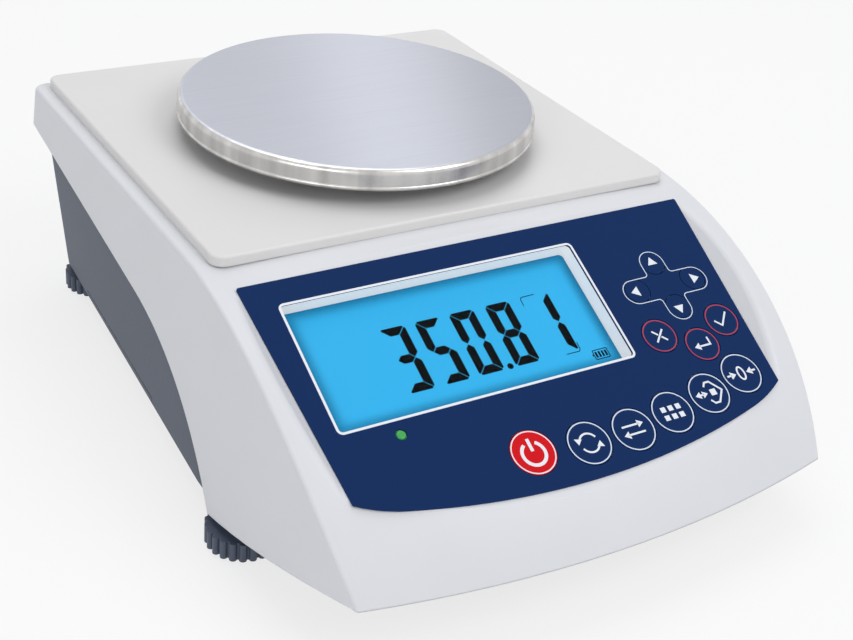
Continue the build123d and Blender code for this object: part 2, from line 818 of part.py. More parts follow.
with BuildPart() as cell_spacers:
    with BuildSketch(Plane.XY.offset(cell_top_z)):
        with Locations((0, cell_front_y)):
            Rectangle(cell_width, spacer_length, align=(Align.CENTER, Align.MIN))
        with Locations(*front_screws):
            Circle(cell_screw_radius + thread_gap, mode=Mode.SUBTRACT)
    extrude(amount=spacer_height)
    with BuildSketch(Plane.XY.offset(cell_bottom_z)):
        with Locations((0, cell_rear_y)):
            Rectangle(cell_width, spacer_length, align=(Align.CENTER, Align.MAX))
        with Locations(*rear_screws):
            Circle(cell_screw_radius + thread_gap, mode=Mode.SUBTRACT)
    extrude(amount=-spacer_height)
write_out(cell_spacers, "cell_spacers")

seat_top_z = seat_plate_z + seat_plate_thickness
with BuildPart() as seat_plate:
    with BuildSketch(Plane.XY.offset(seat_plate_z)):
        with Locations((0, seat_plate_centre_y)):
            Rectangle(seat_plate_width, seat_plate_length)
        with Locations(*seat_posts):
            Circle(board_screw_radius + thread_gap, mode=Mode.SUBTRACT)
        with Locations(*rear_screws):
            Circle(cell_screw_radius + thread_gap, mode=Mode.SUBTRACT)
    extrude(amount=seat_plate_thickness)
    with BuildSketch(Plane.XY.offset(seat_plate_z)):
        with Locations(*rear_screws):
            Circle(cell_screw_head_radius + thread_gap)
    extrude(amount=cell_screw_head_height, mode=Mode.SUBTRACT)
write_out(seat_plate, "seat_plate")

with BuildPart() as cell_screws:
    with BuildSketch(Plane.XY.offset(arm_top_z)):
        with Locations(*front_screws):
            Circle(cell_screw_head_radius)
    extrude(amount=cell_screw_head_height)
    with BuildSketch(Plane.XY.offset(arm_top_z)):
        with Locations(*front_screws):
            Circle(cell_screw_radius)
    extrude(amount=-arm_thickness - spacer_height - cell_screw_grip)
    with BuildSketch(Plane.XY.offset(seat_plate_z)):
        with Locations(*rear_screws):
            Circle(cell_screw_head_radius)
    extrude(amount=cell_screw_head_height)
    with BuildSketch(Plane.XY.offset(seat_plate_z)):
        with Locations(*rear_screws):
            Circle(cell_screw_radius)
    extrude(amount=seat_plate_thickness + spacer_height + cell_screw_grip)
write_out(cell_screws, "cell_screws")

with BuildPart() as stop_screw:
    with BuildSketch(Plane.XY.offset(cell_bottom_z - stop_gap)):
        with Locations((0, stop_place_y)):
            Circle(stop_screw_radius)
    extrude(amount=-stop_screw_length)
write_out(stop_screw, "stop_screw")


def small_screws(places, face_z, length):
    """Pan-head screws with their heads standing on a level face, as a part of its own."""
    with BuildPart() as group:
        with BuildSketch(Plane.XY.offset(face_z)):
            with Locations(*places):
                Circle(board_screw_head_radius)
        extrude(amount=board_screw_head_height)
        with BuildSketch(Plane.XY.offset(face_z)):
            with Locations(*places):
                Circle(board_screw_radius)
        extrude(amount=-length)
    return group


write_out(small_screws(seat_posts, seat_top_z, seat_plate_thickness + seat_plate_z - base_floor_z), "seat_screws")


# Main board with its chips, screws and the rear power socket
board_top_z = main_board_z + board_thickness
board_length = main_board_y[1] - main_board_y[0]
with BuildPart() as main_board:
    with BuildSketch(Plane.XY.offset(main_board_z)):
        with Locations((main_board_x[0], main_board_y[0])):
            Rectangle(main_board_x[1] - main_board_x[0], board_length, align=Align.MIN)
        with Locations(*board_posts):
            Circle(board_screw_radius + thread_gap, mode=Mode.SUBTRACT)
    extrude(amount=board_thickness)
write_out(main_board, "main_board")

with BuildPart() as board_chips:
    for x, y, width, length, height in main_chips:
        with BuildSketch(Plane.XY.offset(board_top_z)):
            with Locations((x, y)):
                Rectangle(width, length)
        extrude(amount=height)
write_out(board_chips, "board_chips")

write_out(small_screws(board_posts, board_top_z, board_screw_length), "board_screws")

socket_face_y = base_rear_y - socket_inset
socket_centre_z = board_top_z + socket_height / 2
with BuildPart() as power_socket:
    with BuildSketch(Plane.XZ.offset(-socket_face_y)):
        with Locations((socket_x, socket_centre_z)):
            Rectangle(socket_width, socket_height)
    extrude(amount=socket_depth)
    with BuildSketch(Plane.XZ.offset(-socket_face_y)):
        with Locations((socket_x, socket_centre_z)):
            Circle(socket_bore_radius)
            Circle(socket_pin_radius, mode=Mode.SUBTRACT)
    extrude(amount=socket_bore_depth, mode=Mode.SUBTRACT)
write_out(power_socket, "power_socket")


# Battery pack in its bay, and the door that slides out under the base
pack_centre_z = bay_roof_z - battery_cell_radius
pack_front_y = battery_centre[1] - battery_cell_radius * (cell_count - 1)
cell_rows = [(pack_front_y + 2 * battery_cell_radius * n, pack_centre_z) for n in range(cell_count)]
with BuildPart() as battery_pack:
    with BuildSketch(side_plane(x=battery_centre[0])):
        with Locations(*cell_rows):
            Circle(battery_cell_radius - battery_wrap_gap)
        with Locations((battery_centre[1], bay_roof_z - battery_cell_radius / 2)):
            Rectangle(2 * battery_cell_radius * (cell_count - 1), battery_cell_radius - 2 * battery_wrap_gap)
    extrude(amount=battery_cell_length / 2, both=True)
    with BuildSketch(side_plane(x=battery_centre[0])):
        with Locations((battery_centre[1], bay_roof_z)):
            RectangleRounded(
                bay_width - 2 * battery_gap, 2 * battery_cell_radius, battery_cell_radius / 2,
                align=(Align.CENTER, Align.MAX),
            )
    extrude(amount=bay_length / 2, both=True)
    with BuildSketch(side_plane(x=battery_centre[0])):
        with Locations((battery_centre[1], bay_roof_z)):
            Rectangle(bay_width, 4 * battery_cell_radius)
        with Locations(*cell_rows):
            Circle(battery_cell_radius - battery_wrap_gap, mode=Mode.SUBTRACT)
        with Locations((battery_centre[1], bay_roof_z - battery_cell_radius / 2)):
            Rectangle(
                2 * battery_cell_radius * (cell_count - 1), battery_cell_radius - 2 * battery_wrap_gap,
                mode=Mode.SUBTRACT,
            )
    extrude(amount=battery_cell_length / 2, both=True, mode=Mode.SUBTRACT)
write_out(battery_pack, "battery_pack")

with BuildPart() as battery_door:
    with BuildSketch(side_plane(x=battery_centre[0] + bay_length / 2 - door_gap)):
        door_section(door_gap)
    extrude(amount=-reach)
    add(base_outer_form, mode=Mode.INTERSECT)
    with BuildSketch(Plane.XY.offset(base_bottom_z)):
        with Locations((battery_centre[0] - bay_length / 2 + door_grip_inset, battery_centre[1])):
            Circle(door_grip_radius)
    extrude(amount=door_grip_depth, mode=Mode.SUBTRACT)
write_out(battery_door, "battery_door")


# Display: window film, glass, backlight and the tray that clips round the well
def display_block(border, low, high):
    """A plate the size of the display window plus a border, between two depths, as a part of its own."""
    with BuildPart() as block:
        with BuildSketch(panel.offset(low)):
            with Locations(window_centre):
                RectangleRounded(window_width + 2 * border, window_height + 2 * border, window_corner)
        extrude(amount=high - low)
    return block


glass_back = -well_depth - display_glass_thickness
light_back = glass_back - backlight_thickness
tray_front = -well_depth + display_frame_lap
tray_inside = display_block(tray_border, light_back, tray_front)
write_out(display_block(lens_border - lens_gap, -lens_thickness, 0), "display_window")
write_out(display_block(glass_border, glass_back, -well_depth), "display_glass")
write_out(display_block(glass_border, light_back, glass_back), "backlight")
with BuildPart() as display_tray:
    with BuildSketch(panel.offset(light_back - display_frame_back)):
        with Locations(window_centre):
            RectangleRounded(
                window_width + 2 * (tray_border + display_frame_wall),
                window_height + 2 * (tray_border + display_frame_wall), window_corner + display_frame_wall,
            )
    extrude(amount=display_frame_back + tray_front - light_back)
    add(tray_inside.part, mode=Mode.SUBTRACT)
write_out(display_tray, "display_tray")


# Keypad overlay: thin printed sheet with openings for the window, the keys and the lamp
with BuildPart() as keypad_overlay:
    with BuildSketch(recess_plane):
        with BuildLine():
            right_bottom = (overlay_bottom_half_width, -overlay_side_length)
            left_bottom = (-overlay_bottom_half_width, -overlay_side_length)
            Line(left_bottom, (-overlay_top_half_width, 0))
            Line((-overlay_top_half_width, 0), (overlay_top_half_width, 0))
            Line((overlay_top_half_width, 0), right_bottom)
            bow = ThreePointArc(
                (-overlay_bow_half_width, -overlay_bow_end), (0, -overlay_bow_depth),
                (overlay_bow_half_width, -overlay_bow_end),
            )
            TangentArc(bow @ 1, right_bottom, tangent=bow % 1)
            TangentArc(bow @ 0, left_bottom, tangent=-(bow % 0))
        make_face()
        corners = vertices().filter_by(lambda point: abs(point.X) > (bow @ 1).X + overlay_corner_radius)
        fillet(corners, radius=overlay_corner_radius)
    extrude(amount=overlay_thickness)
    with BuildSketch(panel):
        with Locations(window_centre):
            RectangleRounded(window_width, window_height, window_corner)
        for spot, radius in key_spots:
            with Locations(spot):
                Circle(radius + key_gap)
        with Locations(lamp_place):
            Circle(lamp_radius + lamp_gap)
    extrude(amount=overlay_thickness, mode=Mode.SUBTRACT)
write_out(keypad_overlay, "keypad_overlay")


# Keys: thirteen separate caps, each with a plunger over its own switch
cap_bottom = overlay_thickness - key_cap_thickness
plunger_bottom = cap_bottom - key_plunger_length
for name, (u, v, radius) in keys.items():
    with BuildPart() as key:
        with BuildSketch(panel.offset(cap_bottom)):
            with Locations((u, v)):
                Circle(radius)
        extrude(amount=key_cap_thickness)
        with BuildSketch(panel.offset(plunger_bottom)):
            with Locations((u, v)):
                Circle(key_plunger_radius)
        extrude(amount=key_plunger_length)
    write_out(key, name)


# Key board with its switches, screws and the status lamp
key_places = [spot for spot, radius in key_spots]
board_low = -key_board_depth - board_thickness
with BuildPart() as key_board:
    with BuildSketch(panel.offset(board_low)):
        Polygon(
            (key_board_left, key_board_bottom), (key_board_right, key_board_bottom),
            (key_board_right, key_board_top), (block_left, key_board_top),
            (block_left, strip_top), (key_board_left, strip_top), align=None,
        )
        with Locations(*key_board_screws_at):
            Circle(board_screw_radius + thread_gap, mode=Mode.SUBTRACT)
    extrude(amount=board_thickness)
write_out(key_board, "key_board")

switch_top = plunger_bottom - key_switch_gap
with BuildPart() as key_switches:
    with BuildSketch(panel.offset(-key_board_depth)):
        with Locations(*key_places):
            Rectangle(switch_side, switch_side)
    extrude(amount=key_board_depth + switch_top - switch_cap_height)
    with BuildSketch(panel.offset(switch_top - switch_cap_height)):
        with Locations(*key_places):
            Circle(switch_cap_radius)
    extrude(amount=switch_cap_height)
write_out(key_switches, "key_switches")

with BuildPart() as key_board_screws:
    with BuildSketch(panel.offset(board_low)):
        with Locations(*key_board_screws_at):
            Circle(board_screw_head_radius)
    extrude(amount=-board_screw_head_height)
    with BuildSketch(panel.offset(board_low)):
        with Locations(*key_board_screws_at):
            Circle(board_screw_radius)
    extrude(amount=board_screw_length)
write_out(key_board_screws, "key_board_screws")

lamp_low = overlay_thickness + lamp_proud - lamp_length
with BuildPart() as status_lamp:
    with BuildSketch(panel.offset(lamp_low)):
        with Locations(lamp_place):
            Circle(lamp_radius)
    extrude(amount=lamp_length)
    fillet(status_lamp.edges().filter_by(GeomType.CIRCLE).sort_by(Axis.Z)[-1], radius=lamp_radius / 2)
    with BuildSketch(panel.offset(-key_board_depth)):
        with Locations((lamp_place[0], lamp_place[1] + lamp_stand_shift)):
            Rectangle(lamp_stand_width, lamp_stand_length)
    extrude(amount=key_board_depth + lamp_low)
write_out(status_lamp, "status_lamp")


# Levelling feet: ribbed knob with a threaded stud, and a rubber pad sunk in its underside
foot_names = ["front_right", "front_left", "rear_right", "rear_left"]
for name, place in zip(foot_names, foot_places):
    with BuildPart() as foot_knob:
        with BuildSketch(Plane.XY.offset(foot_knob_z)):
            with Locations(place):
                Circle(foot_knob_radius - foot_rib_depth)
                with PolarLocations(foot_knob_radius - foot_rib_depth, foot_rib_count):
                    Circle(foot_rib_radius)
        extrude(amount=foot_knob_height)
        with BuildSketch(Plane.XY.offset(foot_knob_z)):
            with Locations(place):
                Circle(foot_pad_radius + foot_pad_gap)
        extrude(amount=foot_pad_sunk + foot_pad_gap, mode=Mode.SUBTRACT)
        with BuildSketch(Plane.XY.offset(foot_knob_z + foot_knob_height)):
            with Locations(place):
                Circle(foot_stud_radius)
        extrude(amount=foot_stud_length)
        chamfer(foot_knob.edges().group_by(Axis.Z)[-1], length=foot_stud_radius / 4)
    write_out(foot_knob, f"{name}_foot_knob")
    with BuildPart() as foot_pad:
        with BuildSketch():
            with Locations(place):
                Circle(foot_pad_radius)
        extrude(amount=foot_pad_height)
    write_out(foot_pad, f"{name}_foot_pad")


# Housing screws, driven up through the base into the posts of the cover
with BuildPart() as housing_screws:
    for (x, y), joint_z in housing_screws_at:
        head_z = joint_z - base_gap - housing_screw_shelf
        with BuildSketch(Plane.XY.offset(head_z)):
            with Locations((x, y)):
                Circle(housing_screw_head_radius)
        extrude(amount=-housing_screw_head_height)
        with BuildSketch(Plane.XY.offset(head_z)):
            with Locations((x, y)):
                Circle(housing_screw_radius)
        extrude(amount=housing_screw_length)
write_out(housing_screws, "housing_screws")


# Bubble level behind the pan
level_top_z = plate_top_z + level_stand_proud
level_floor_z = level_top_z - level_depth
with BuildPart() as level_cup:
    with BuildSketch(Plane.XY.offset(level_floor_z)):
        with Locations(level_place):
            Circle(level_radius)
    extrude(amount=level_depth)
    with BuildSketch(Plane.XY.offset(level_floor_z + level_wall)):
        with Locations(level_place):
            Circle(level_radius - level_wall)
    extrude(amount=level_depth - level_wall, mode=Mode.SUBTRACT)
    with BuildSketch(Plane.XY.offset(plate_top_z)):
        with Locations(level_place):
            Circle(level_radius + level_lip)
            Circle(level_radius - level_wall, mode=Mode.SUBTRACT)
    extrude(amount=level_stand_proud)
write_out(level_cup, "level_cup")

glass_low_z = level_top_z - level_glass_thickness
with BuildPart() as level_liquid:
    with BuildSketch(Plane.XY.offset(level_floor_z + level_wall)):
        with Locations(level_place):
            Circle(level_radius - level_wall)
    extrude(amount=glass_low_z - level_floor_z - level_wall)
    with BuildSketch(Plane.XY.offset(glass_low_z)):
        with Locations(level_place):
            Circle(bubble_radius)
    extrude(amount=-bubble_depth, mode=Mode.SUBTRACT)
write_out(level_liquid, "level_liquid")

with BuildPart() as level_glass:
    with BuildSketch(Plane.XY.offset(glass_low_z)):
        with Locations(level_place):
            Circle(level_radius - level_wall)
    extrude(amount=level_glass_thickness)
write_out(level_glass, "level_glass")
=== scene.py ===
import bpy, bmesh
from math import sin, cos, radians, hypot
from mathutils import Vector, Matrix


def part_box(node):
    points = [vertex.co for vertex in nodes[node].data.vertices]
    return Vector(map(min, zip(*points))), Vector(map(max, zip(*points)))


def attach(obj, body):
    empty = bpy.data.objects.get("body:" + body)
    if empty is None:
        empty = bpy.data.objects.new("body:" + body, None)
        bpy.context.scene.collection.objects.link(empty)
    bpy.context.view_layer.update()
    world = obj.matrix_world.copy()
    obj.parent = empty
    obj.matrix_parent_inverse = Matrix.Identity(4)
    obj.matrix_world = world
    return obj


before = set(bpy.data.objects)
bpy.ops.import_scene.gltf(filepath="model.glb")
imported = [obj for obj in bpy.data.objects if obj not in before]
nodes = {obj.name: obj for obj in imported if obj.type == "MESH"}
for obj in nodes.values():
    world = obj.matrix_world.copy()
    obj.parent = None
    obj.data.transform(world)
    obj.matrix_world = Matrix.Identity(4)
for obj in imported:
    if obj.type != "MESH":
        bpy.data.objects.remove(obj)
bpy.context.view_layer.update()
scene = bpy.context.scene
mm = 0.001
print("frame loaded:", len(nodes), "nodes")


def hexColour(code):
    def toLinear(part):
        return part / 12.92 if part <= 0.04045 else ((part + 0.055) / 1.055) ** 2.4
    parts = [int(code[i:i + 2], 16) / 255 for i in (1, 3, 5)]
    return tuple(toLinear(part) for part in parts) + (1.0,)


def addNode(tree, kind, links=None, **settings):
    # settings are node properties, or sockets given as in_Name with two underscores for a space
    node = tree.nodes.new(kind)
    for key, value in settings.items():
        if key.startswith("in_"):
            name = key[3:].replace("__", " ")
            node.inputs[int(name) if name.isdigit() else name].default_value = value
        else:
            setattr(node, key, value)
    for socketName, source in (links or {}).items():
        tree.links.new(source, node.inputs[socketName])
    return node


def newMaterial(name, **values):
    # values are the shader's own sockets, the same all over the surface
    material = bpy.data.materials.new(name)
    material.use_nodes = True
    tree = material.node_tree
    tree.nodes.clear()
    shader = addNode(tree, "ShaderNodeBsdfPrincipled")
    addNode(tree, "ShaderNodeOutputMaterial", {"Surface": shader.outputs[0]})
    for key, value in values.items():
        shader.inputs[key.replace("__", " ")].default_value = value
    return material, tree, shader


def millimetres(tree):
    # object coordinates in millimetres; every piece of the balance has its origin at the room's origin
    place = addNode(tree, "ShaderNodeTexCoord")
    scaled = addNode(tree, "ShaderNodeVectorMath", {0: place.outputs["Object"]}, operation="SCALE",
                     in_Scale=1 / mm)
    return scaled.outputs[0]


def fineGrain(tree, shader, size, rough, depth, detail, strength, corners=None):
    # one noise, its lumps size millimetres across, that the gloss and the bump both follow
    place = millimetres(tree)
    grain = addNode(tree, "ShaderNodeTexNoise", {"Vector": place}, in_Scale=1 / size, in_Detail=detail)
    blur = addNode(tree, "ShaderNodeMapRange", {"Value": grain.outputs["Fac"]},
                   in_To__Min=rough[0], in_To__Max=rough[1])
    bump = addNode(tree, "ShaderNodeBump", {"Height": grain.outputs["Fac"]},
                   in_Strength=strength, in_Distance=depth * mm)
    if corners is not None:
        tree.links.new(corners, bump.inputs["Normal"])
    tree.links.new(blur.outputs[0], shader.inputs["Roughness"])
    tree.links.new(bump.outputs[0], shader.inputs["Normal"])
    return place, grain.outputs["Fac"]


# the sloping panel: places on it are in millimetres across and up from the middle of its top edge
panel = {"slope": radians(26), "film": 0.5, "ink": 0.03}
slope = panel["slope"]
panelAcross = Vector((1, 0, 0))
panelUp = Vector((0, cos(slope), sin(slope)))
panelOut = Vector((0, -sin(slope), cos(slope)))
filmLow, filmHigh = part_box("keypad_overlay")
panelOrigin = Vector((0, filmHigh.y, filmHigh.z - panel["film"] * mm * cos(slope)))

# the display's well in the cover, sunk below the panel; the near-white colour, the warm glow and its strength
# for the well's walls are painted light, brightening walls that little light reaches
well = {"middle": (-20.2, -29.55), "half": (50.7, 22.55), "depth": 6.3, "lip": 0.05,
        "walls": "#F1F0EE", "glow": "#EADFD2", "light": 0.42}


def onPanel(across, up, out):
    return panelOrigin + (panelAcross * across + panelUp * up + panelOut * out) * mm


def insideBox(tree, place, middleSpot, half, corner=4.0):
    # how far inside a box on the panel a point lies, in millimetres, and how high it stands above the panel
    middle = onPanel(*middleSpot, 0) / mm
    away = addNode(tree, "ShaderNodeVectorMath", {0: place}, operation="SUBTRACT", in_1=middle)
    level = addNode(tree, "ShaderNodeMapping", {"Vector": away.outputs[0]}, in_Rotation=(-slope, 0, 0))
    parts = addNode(tree, "ShaderNodeSeparateXYZ", {0: level.outputs[0]})
    inside = []
    for axis, reach in zip("XY", half):
        size = addNode(tree, "ShaderNodeMath", {0: parts.outputs[axis]}, operation="ABSOLUTE")
        inside.append(addNode(tree, "ShaderNodeMath", {1: size.outputs[0]}, operation="SUBTRACT", in_0=reach))
    nearest = addNode(tree, "ShaderNodeMath", {0: inside[0].outputs[0], 1: inside[1].outputs[0]},
                      operation="SMOOTH_MIN", in_2=corner)
    return nearest.outputs[0], parts.outputs["Z"]


# moulded plastics: gloss from and to, then grain, its depth and the corners' softness in millimetres
plastics = {
    # ABS from a finely spark-eroded tool: light grey with a soft satin sheen
    "cover": {"name": "SatinGreyAbs", "colours": ("#DBDCDF", "#E0E1E4"), "rough": (0.39, 0.51), "grain": 0.4,
              "depth": 0.02, "edge": 0.6, "well": well},
    # the same ABS from another tool: a touch warmer and duller
    "plate": {"name": "SatinGreyAbsPlate", "colours": ("#DFDDDB", "#E4E2E1"), "rough": (0.41, 0.53),
              "grain": 0.4, "depth": 0.02, "edge": 0.6},
    # ABS from a coarsely spark-eroded tool: dark slate, dull, with an open grain
    "base": {"name": "SparkedSlateAbs", "colours": ("#484F5E", "#4F5766"), "rough": (0.51, 0.63), "grain": 0.7,
             "depth": 0.06, "edge": 0.8},
    # moulded nylon: dark slate with a dull gleam along its ribs
    "foot": {"name": "SlateNylon", "colours": ("#434C5E", "#4B5567"), "rough": (0.45, 0.57), "grain": 0.5,
             "depth": 0.04, "edge": 0.35},
    # moulded polycarbonate: plain black, half gloss
    "black": {"name": "BlackPolycarbonate", "colours": ("#15161A", "#1B1C20"), "rough": (0.4, 0.52),
              "grain": 0.5, "depth": 0.03, "edge": 0.2},
    # moulded acetal: milky white and a little waxy
    "white": {"name": "WhiteAcetal", "colours": ("#E2E3E2", "#E9EAE8"), "rough": (0.3, 0.42), "grain": 0.5,
              "depth": 0.02, "edge": 0.2},
}
colourDrift = 35  # millimetres over which a moulding's colour drifts


def paintedGlowOnWalls(tree, shader, place, colour, finish):
    # painted light: the walls round the display get a near-white colour and a warm glow, painted in to brighten
    # walls that little light reaches down in the well
    inside, height = insideBox(tree, place, finish["middle"], finish["half"])
    near = addNode(tree, "ShaderNodeMath", {0: inside}, operation="GREATER_THAN", in_1=0)
    deep = addNode(tree, "ShaderNodeMath", {0: height}, operation="LESS_THAN", in_1=-finish["lip"])
    paintedWallMask = addNode(tree, "ShaderNodeMath", {0: near.outputs[0], 1: deep.outputs[0]}, operation="MULTIPLY")
    glow = addNode(tree, "ShaderNodeMath", {0: paintedWallMask.outputs[0]}, operation="MULTIPLY", in_1=finish["light"])
    tree.links.new(glow.outputs[0], shader.inputs["Emission Strength"])
    shader.inputs["Emission Color"].default_value = hexColour(finish["glow"])
    walls = addNode(tree, "ShaderNodeMix", {"Factor": paintedWallMask.outputs[0], "A": colour}, data_type="RGBA",
                    in_B=hexColour(finish["walls"]))
    return walls.outputs["Result"]


def mouldedPlastic(finish):
    # injection moulded in a spark-eroded tool: an even colour, a satin sheen, a very fine grain, soft corners
    material, tree, shader = newMaterial(finish["name"], IOR=1.53)
    corners = addNode(tree, "ShaderNodeBevel", samples=4, in_Radius=finish["edge"] * mm)
    place, grain = fineGrain(tree, shader, finish["grain"], finish["rough"], finish["depth"], detail=3.0,
                             strength=0.3, corners=corners.outputs[0])
    clouds = addNode(tree, "ShaderNodeTexNoise", {"Vector": place}, in_Scale=1 / colourDrift, in_Detail=2.0)
    first, second = finish["colours"]
    colour = addNode(tree, "ShaderNodeMix", {"Factor": clouds.outputs["Fac"]}, data_type="RGBA",
                     in_A=hexColour(first), in_B=hexColour(second)).outputs["Result"]
    # painted light: the well's walls are painted near-white and given a painted glow
    if "well" in finish:
        colour = paintedGlowOnWalls(tree, shader, place, colour, finish["well"])
    tree.links.new(colour, shader.inputs["Base Color"])
    return material


# the pan: lines and streaks are noise cells to the millimetre along, across and through the sheet, coarser than
# real brushing so that they show; the rim's bright and dark upright streaks are painted reflections
panFinish = {"flat": ("#AFB2BC", "#BBBEC7"), "rim": ("#9E9C9A", "#E6E4E1"), "rough": 0.35, "rimRough": 0.24,
             "flatFrom": (0.8, 0.98), "brushed": 0.95, "turn": 0.035, "brushAngle": 12.5,
             "lines": (0.03, 1.8, 1.0), "lineDepth": 0.006, "streaks": (0.22, 0.22, 0.02)}


def brushedSteel(finish):
    # stainless sheet brushed one way: fine lines that draw the light into one broad band across them
    material, tree, shader = newMaterial("BrushedStainlessSteel", Metallic=1.0,
                                         Anisotropic__Rotation=finish["turn"])
    place = millimetres(tree)
    across = addNode(tree, "ShaderNodeMapping", {"Vector": place}, in_Scale=finish["lines"],
                     in_Rotation=(0, 0, radians(finish["brushAngle"])))
    lines = addNode(tree, "ShaderNodeTexNoise", {"Vector": across.outputs[0]}, in_Scale=1.0, in_Detail=3.0)
    around = addNode(tree, "ShaderNodeMapping", {"Vector": place}, in_Scale=finish["streaks"])
    streaks = addNode(tree, "ShaderNodeTexNoise", {"Vector": around.outputs[0]}, in_Scale=1.0, in_Detail=2.0)
    facing = addNode(tree, "ShaderNodeNewGeometry")
    upward = addNode(tree, "ShaderNodeSeparateXYZ", {0: facing.outputs["Normal"]})
    isFlat = addNode(tree, "ShaderNodeMapRange", {"Value": upward.outputs["Z"]},
                     in_From__Min=finish["flatFrom"][0], in_From__Max=finish["flatFrom"][1])
    tones = []
    # the rim's tone swings from dark to bright in upright streaks: painted reflections
    for pattern, (first, second) in ((streaks, finish["rim"]), (lines, finish["flat"])):
        tones.append(addNode(tree, "ShaderNodeMix", {"Factor": pattern.outputs["Fac"]}, data_type="RGBA",
                             in_A=hexColour(first), in_B=hexColour(second)).outputs["Result"])
    tone = addNode(tree, "ShaderNodeMix", {"Factor": isFlat.outputs[0], "A": tones[0], "B": tones[1]},
                   data_type="RGBA")
    blur = addNode(tree, "ShaderNodeMapRange", {"Value": isFlat.outputs[0]},
                   in_To__Min=finish["rimRough"], in_To__Max=finish["rough"])
    stretch = addNode(tree, "ShaderNodeMapRange", {"Value": isFlat.outputs[0]},
                      in_To__Min=0.0, in_To__Max=finish["brushed"])
    tangent = addNode(tree, "ShaderNodeTangent", direction_type="RADIAL", axis="X")
    bump = addNode(tree, "ShaderNodeBump", {"Height": lines.outputs["Fac"]}, in_Strength=0.2,
                   in_Distance=finish["lineDepth"] * mm)
    tree.links.new(tone.outputs["Result"], shader.inputs["Base Color"])
    tree.links.new(blur.outputs[0], shader.inputs["Roughness"])
    tree.links.new(stretch.outputs[0], shader.inputs["Anisotropic"])
    tree.links.new(tangent.outputs[0], shader.inputs["Tangent"])
    tree.links.new(bump.outputs[0], shader.inputs["Normal"])
    return material


def bareMetal(name, colours, rough, grainSize):
    # zinc-plated or as-cast metal: grey, a little uneven in tone and gloss
    material, tree, shader = newMaterial(name, Metallic=1.0)
    place, grain = fineGrain(tree, shader, grainSize, rough, depth=0.02, detail=4.0, strength=0.2)
    first, second = colours
    tone = addNode(tree, "ShaderNodeMix", {"Factor": grain}, data_type="RGBA",
                   in_A=hexColour(first), in_B=hexColour(second))
    tree.links.new(tone.outputs["Result"], shader.inputs["Base Color"])
    return material


def coated(name, colour, rough, grainSize, depth, **values):
    # films, inks, lacquers and rubber: one deep colour whose gloss and surface vary with a fine grain
    material, tree, shader = newMaterial(name, Base__Color=hexColour(colour), **values)
    fineGrain(tree, shader, grainSize, rough, depth, detail=2.0, strength=0.2)
    return material


coverPlastic, platePlastic, basePlastic, footPlastic, blackPlastic, whitePlastic = (
    mouldedPlastic(plastics[key]) for key in ("cover", "plate", "base", "foot", "black", "white"))
panSteel = brushedSteel(panFinish)
# zinc plating: bright grey with a faint bloom; sand-cast aluminium: paler, dull and finely pitted
zincSteel = bareMetal("ZincPlatedSteel", ("#A9ABAE", "#C6C8CA"), (0.28, 0.42), 1.5)
castAluminium = bareMetal("CastAluminium", ("#A9AAAC", "#BDBEC0"), (0.44, 0.58), 0.6)
# polyester film printed on its back: a deep, even colour under a matt face
navyFilm = coated("NavyPolyesterFilm", "#152F5D", (0.45, 0.56), 0.4, 0.01, Specular__IOR__Level=0.04)
redFilm = coated("RedPolyesterFilm", "#D61B22", (0.45, 0.56), 0.4, 0.01, Specular__IOR__Level=0.04)
# ink laid down through a mesh: opaque and flat, with a faint grain in its gloss
whiteInk = coated("WhiteScreenInk", "#E9ECF2", (0.4, 0.51), 0.3, 0.005)
ringInk = coated("PaleBlueScreenInk", "#D9E2F0", (0.4, 0.51), 0.3, 0.005)
redInk = coated("CrimsonScreenInk", "#B02C48", (0.4, 0.51), 0.3, 0.005)
# moulded nitrile rubber: dull black, a little dusty
nitrileRubber = coated("BlackNitrileRubber", "#1B1B1D", (0.69, 0.8), 1.2, 0.05)
# solder lacquer over copper: a deep green gloss
solderMask = coated("SolderMaskGreen", "#14532F", (0.25, 0.36), 0.8, 0.02)
# shrunk vinyl sleeve: bright blue, glossy, slightly rippled
shrinkWrap = coated("BlueShrinkWrap", "#24508F", (0.17, 0.28), 3.0, 0.05)
# diffused epoxy lens of a lamp that is lit: it glows evenly, with no hot spot
greenLens = coated("GreenDiffusedLens", "#2A8A3D", (0.25, 0.36), 0.5, 0.01,
                   Emission__Color=hexColour("#32AC4C"), Emission__Strength=0.25)
# tinted spirit: a clear yellow-green
levelLiquid = coated("YellowGreenLevelLiquid", "#B5DC4C", (0.03, 0.14), 2.0, 0.005,
                     Transmission__Weight=0.6, IOR=1.38)
# hard-coated sheet: all but clear, so that only its reflections show
clearSheet = coated("ClearHardCoatedSheet", "#20262C", (0.01, 0.12), 20.0, 0.01, Alpha=0.05, IOR=1.49)
print("materials made")

wornBy = {
    coverPlastic: ["top_cover"], platePlastic: ["deck_plate"], basePlastic: ["base_housing", "battery_door"],
    panSteel: ["weighing_pan"], castAluminium: ["pan_support", "load_arm", "load_cell", "cell_spacers"],
    nitrileRubber: ["support_pads"], solderMask: ["main_board", "key_board"], shrinkWrap: ["battery_pack"],
    redFilm: ["power_key"], navyFilm: ["keypad_overlay"], whitePlastic: ["level_cup", "backlight"],
    greenLens: ["status_lamp"], levelLiquid: ["level_liquid"], clearSheet: ["level_glass", "display_window"],
    zincSteel: ["seat_plate", "stop_screw"],
}
wornByEnding = {"_foot_knob": footPlastic, "_foot_pad": nitrileRubber, "_screws": zincSteel, "_key": navyFilm}
finishOf = {name: material for material, names in wornBy.items() for name in names}


def dress(nodeName, material):
    target = nodes[nodeName]
    target.data.materials.clear()
    target.data.materials.append(material)


for name in nodes:
    ending = [material for tail, material in wornByEnding.items() if name.endswith(tail)]
    dress(name, finishOf.get(name, ending[0] if ending else blackPlastic))
print("nodes dressed")


